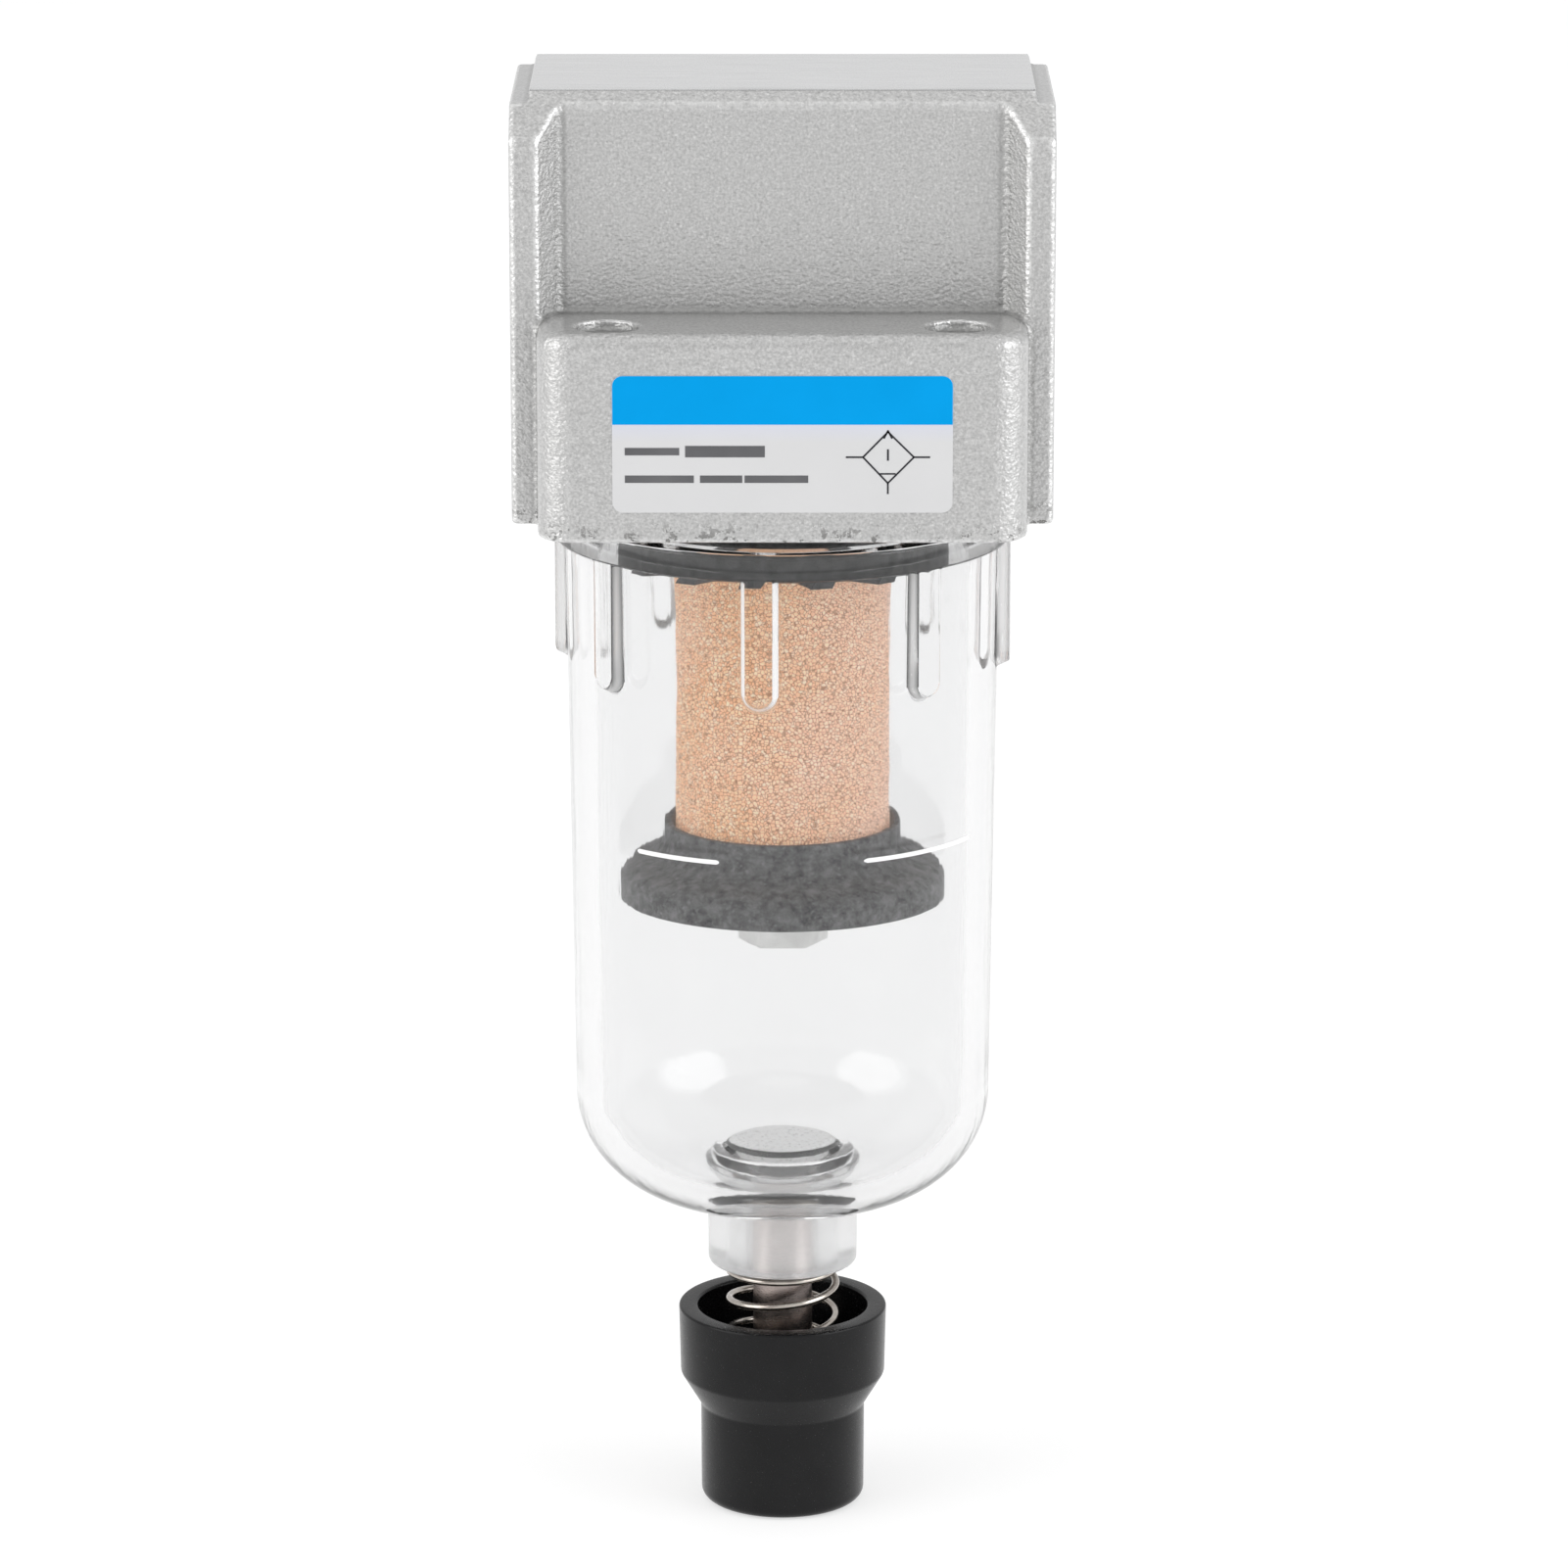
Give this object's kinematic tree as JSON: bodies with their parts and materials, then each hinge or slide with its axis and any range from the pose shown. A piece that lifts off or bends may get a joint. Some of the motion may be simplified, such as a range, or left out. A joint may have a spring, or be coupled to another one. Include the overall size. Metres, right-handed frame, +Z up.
{
  "type": "compressed air filter",
  "caption": "Small modular in-line compressed air filter: die-cast head with threaded side ports, screw-on clear bowl, sintered element and spring-return push drain.",
  "frame": {"origin": "on the bowl axis, at the level of the drain knob's lowest face: the centre of the underside of the whole part", "axes": "+Z up along the bowl axis (the longest side), +X from the inlet port face to the outlet port face, -Y to the labelled front"},
  "size_m": [0.04, 0.036, 0.112],
  "materials": {
    "housing_paint": "fine textured silver-grey metallic paint on a die casting",
    "label_film": "printed film, satin",
    "brass": "turned",
    "dark_nylon": "moulded, dusty matt",
    "black_rubber": "matt",
    "sintered_bronze": "sintered grains, dull with small bright points",
    "bright_steel": "turned, bright",
    "spring_steel": "drawn wire, bright",
    "clear_polycarbonate": "clear moulded polycarbonate, polished",
    "black_plastic": "semi-gloss black moulding"
  },
  "bodies": {
    "head": {"housing": "housing_paint", "label": "label_film", "stud_insert": "brass", "deflector": "dark_nylon"},
    "element_stack": {"element_top_gasket": "black_rubber", "filter_element": "sintered_bronze", "element_bottom_gasket": "black_rubber"},
    "baffle_screw": {"baffle": "dark_nylon", "element_stud": "bright_steel"},
    "bowl_ring": {"bowl_o_ring": "black_rubber"},
    "bowl": {"bowl": "clear_polycarbonate", "drain_spring": "spring_steel"},
    "drain_valve": {"valve_stem": "bright_steel", "valve_head": "bright_steel", "valve_seal": "black_rubber", "spring_washer": "bright_steel", "knob_nut": "brass"},
    "knob": {"drain_knob": "black_plastic"}
  },
  "joints": [
    {"name": "bowl_drop", "type": "slide", "parent": "head", "child": "bowl_ring", "axis": [0, 0, -1], "range_m": [0, 0.005]},
    {"name": "bowl_unscrew", "type": "hinge", "parent": "bowl_ring", "child": "bowl", "pos_m": [0, 0, 0.0797], "axis": [0, 0, -1], "range_deg": [0, 900.01]},
    {"name": "element_drop", "type": "slide", "parent": "head", "child": "element_stack", "axis": [0, 0, -1], "range_m": [0, 0.0042]},
    {"name": "baffle_unscrew", "type": "hinge", "parent": "element_stack", "child": "baffle_screw", "pos_m": [0, 0, 0.0508], "axis": [0, 0, -1], "range_deg": [0, 2160.01]},
    {"name": "drain_push", "type": "slide", "parent": "bowl", "child": "drain_valve", "axis": [0, 0, 1], "range_m": [0, 0.003], "stiffness_N_per_m": 400, "springref_m": -0.004, "deforming": ["drain_spring"]},
    {"name": "knob_spin", "type": "hinge", "parent": "drain_valve", "child": "knob", "pos_m": [0, 0, 0.0088], "axis": [0, 0, 1], "continuous": true}
  ],
  "couplings": [
    {"joint": "bowl_unscrew", "follows": "bowl_drop", "rad_per_m": 3141.6},
    {"joint": "baffle_unscrew", "follows": "element_drop", "rad_per_m": 8976}
  ]
}
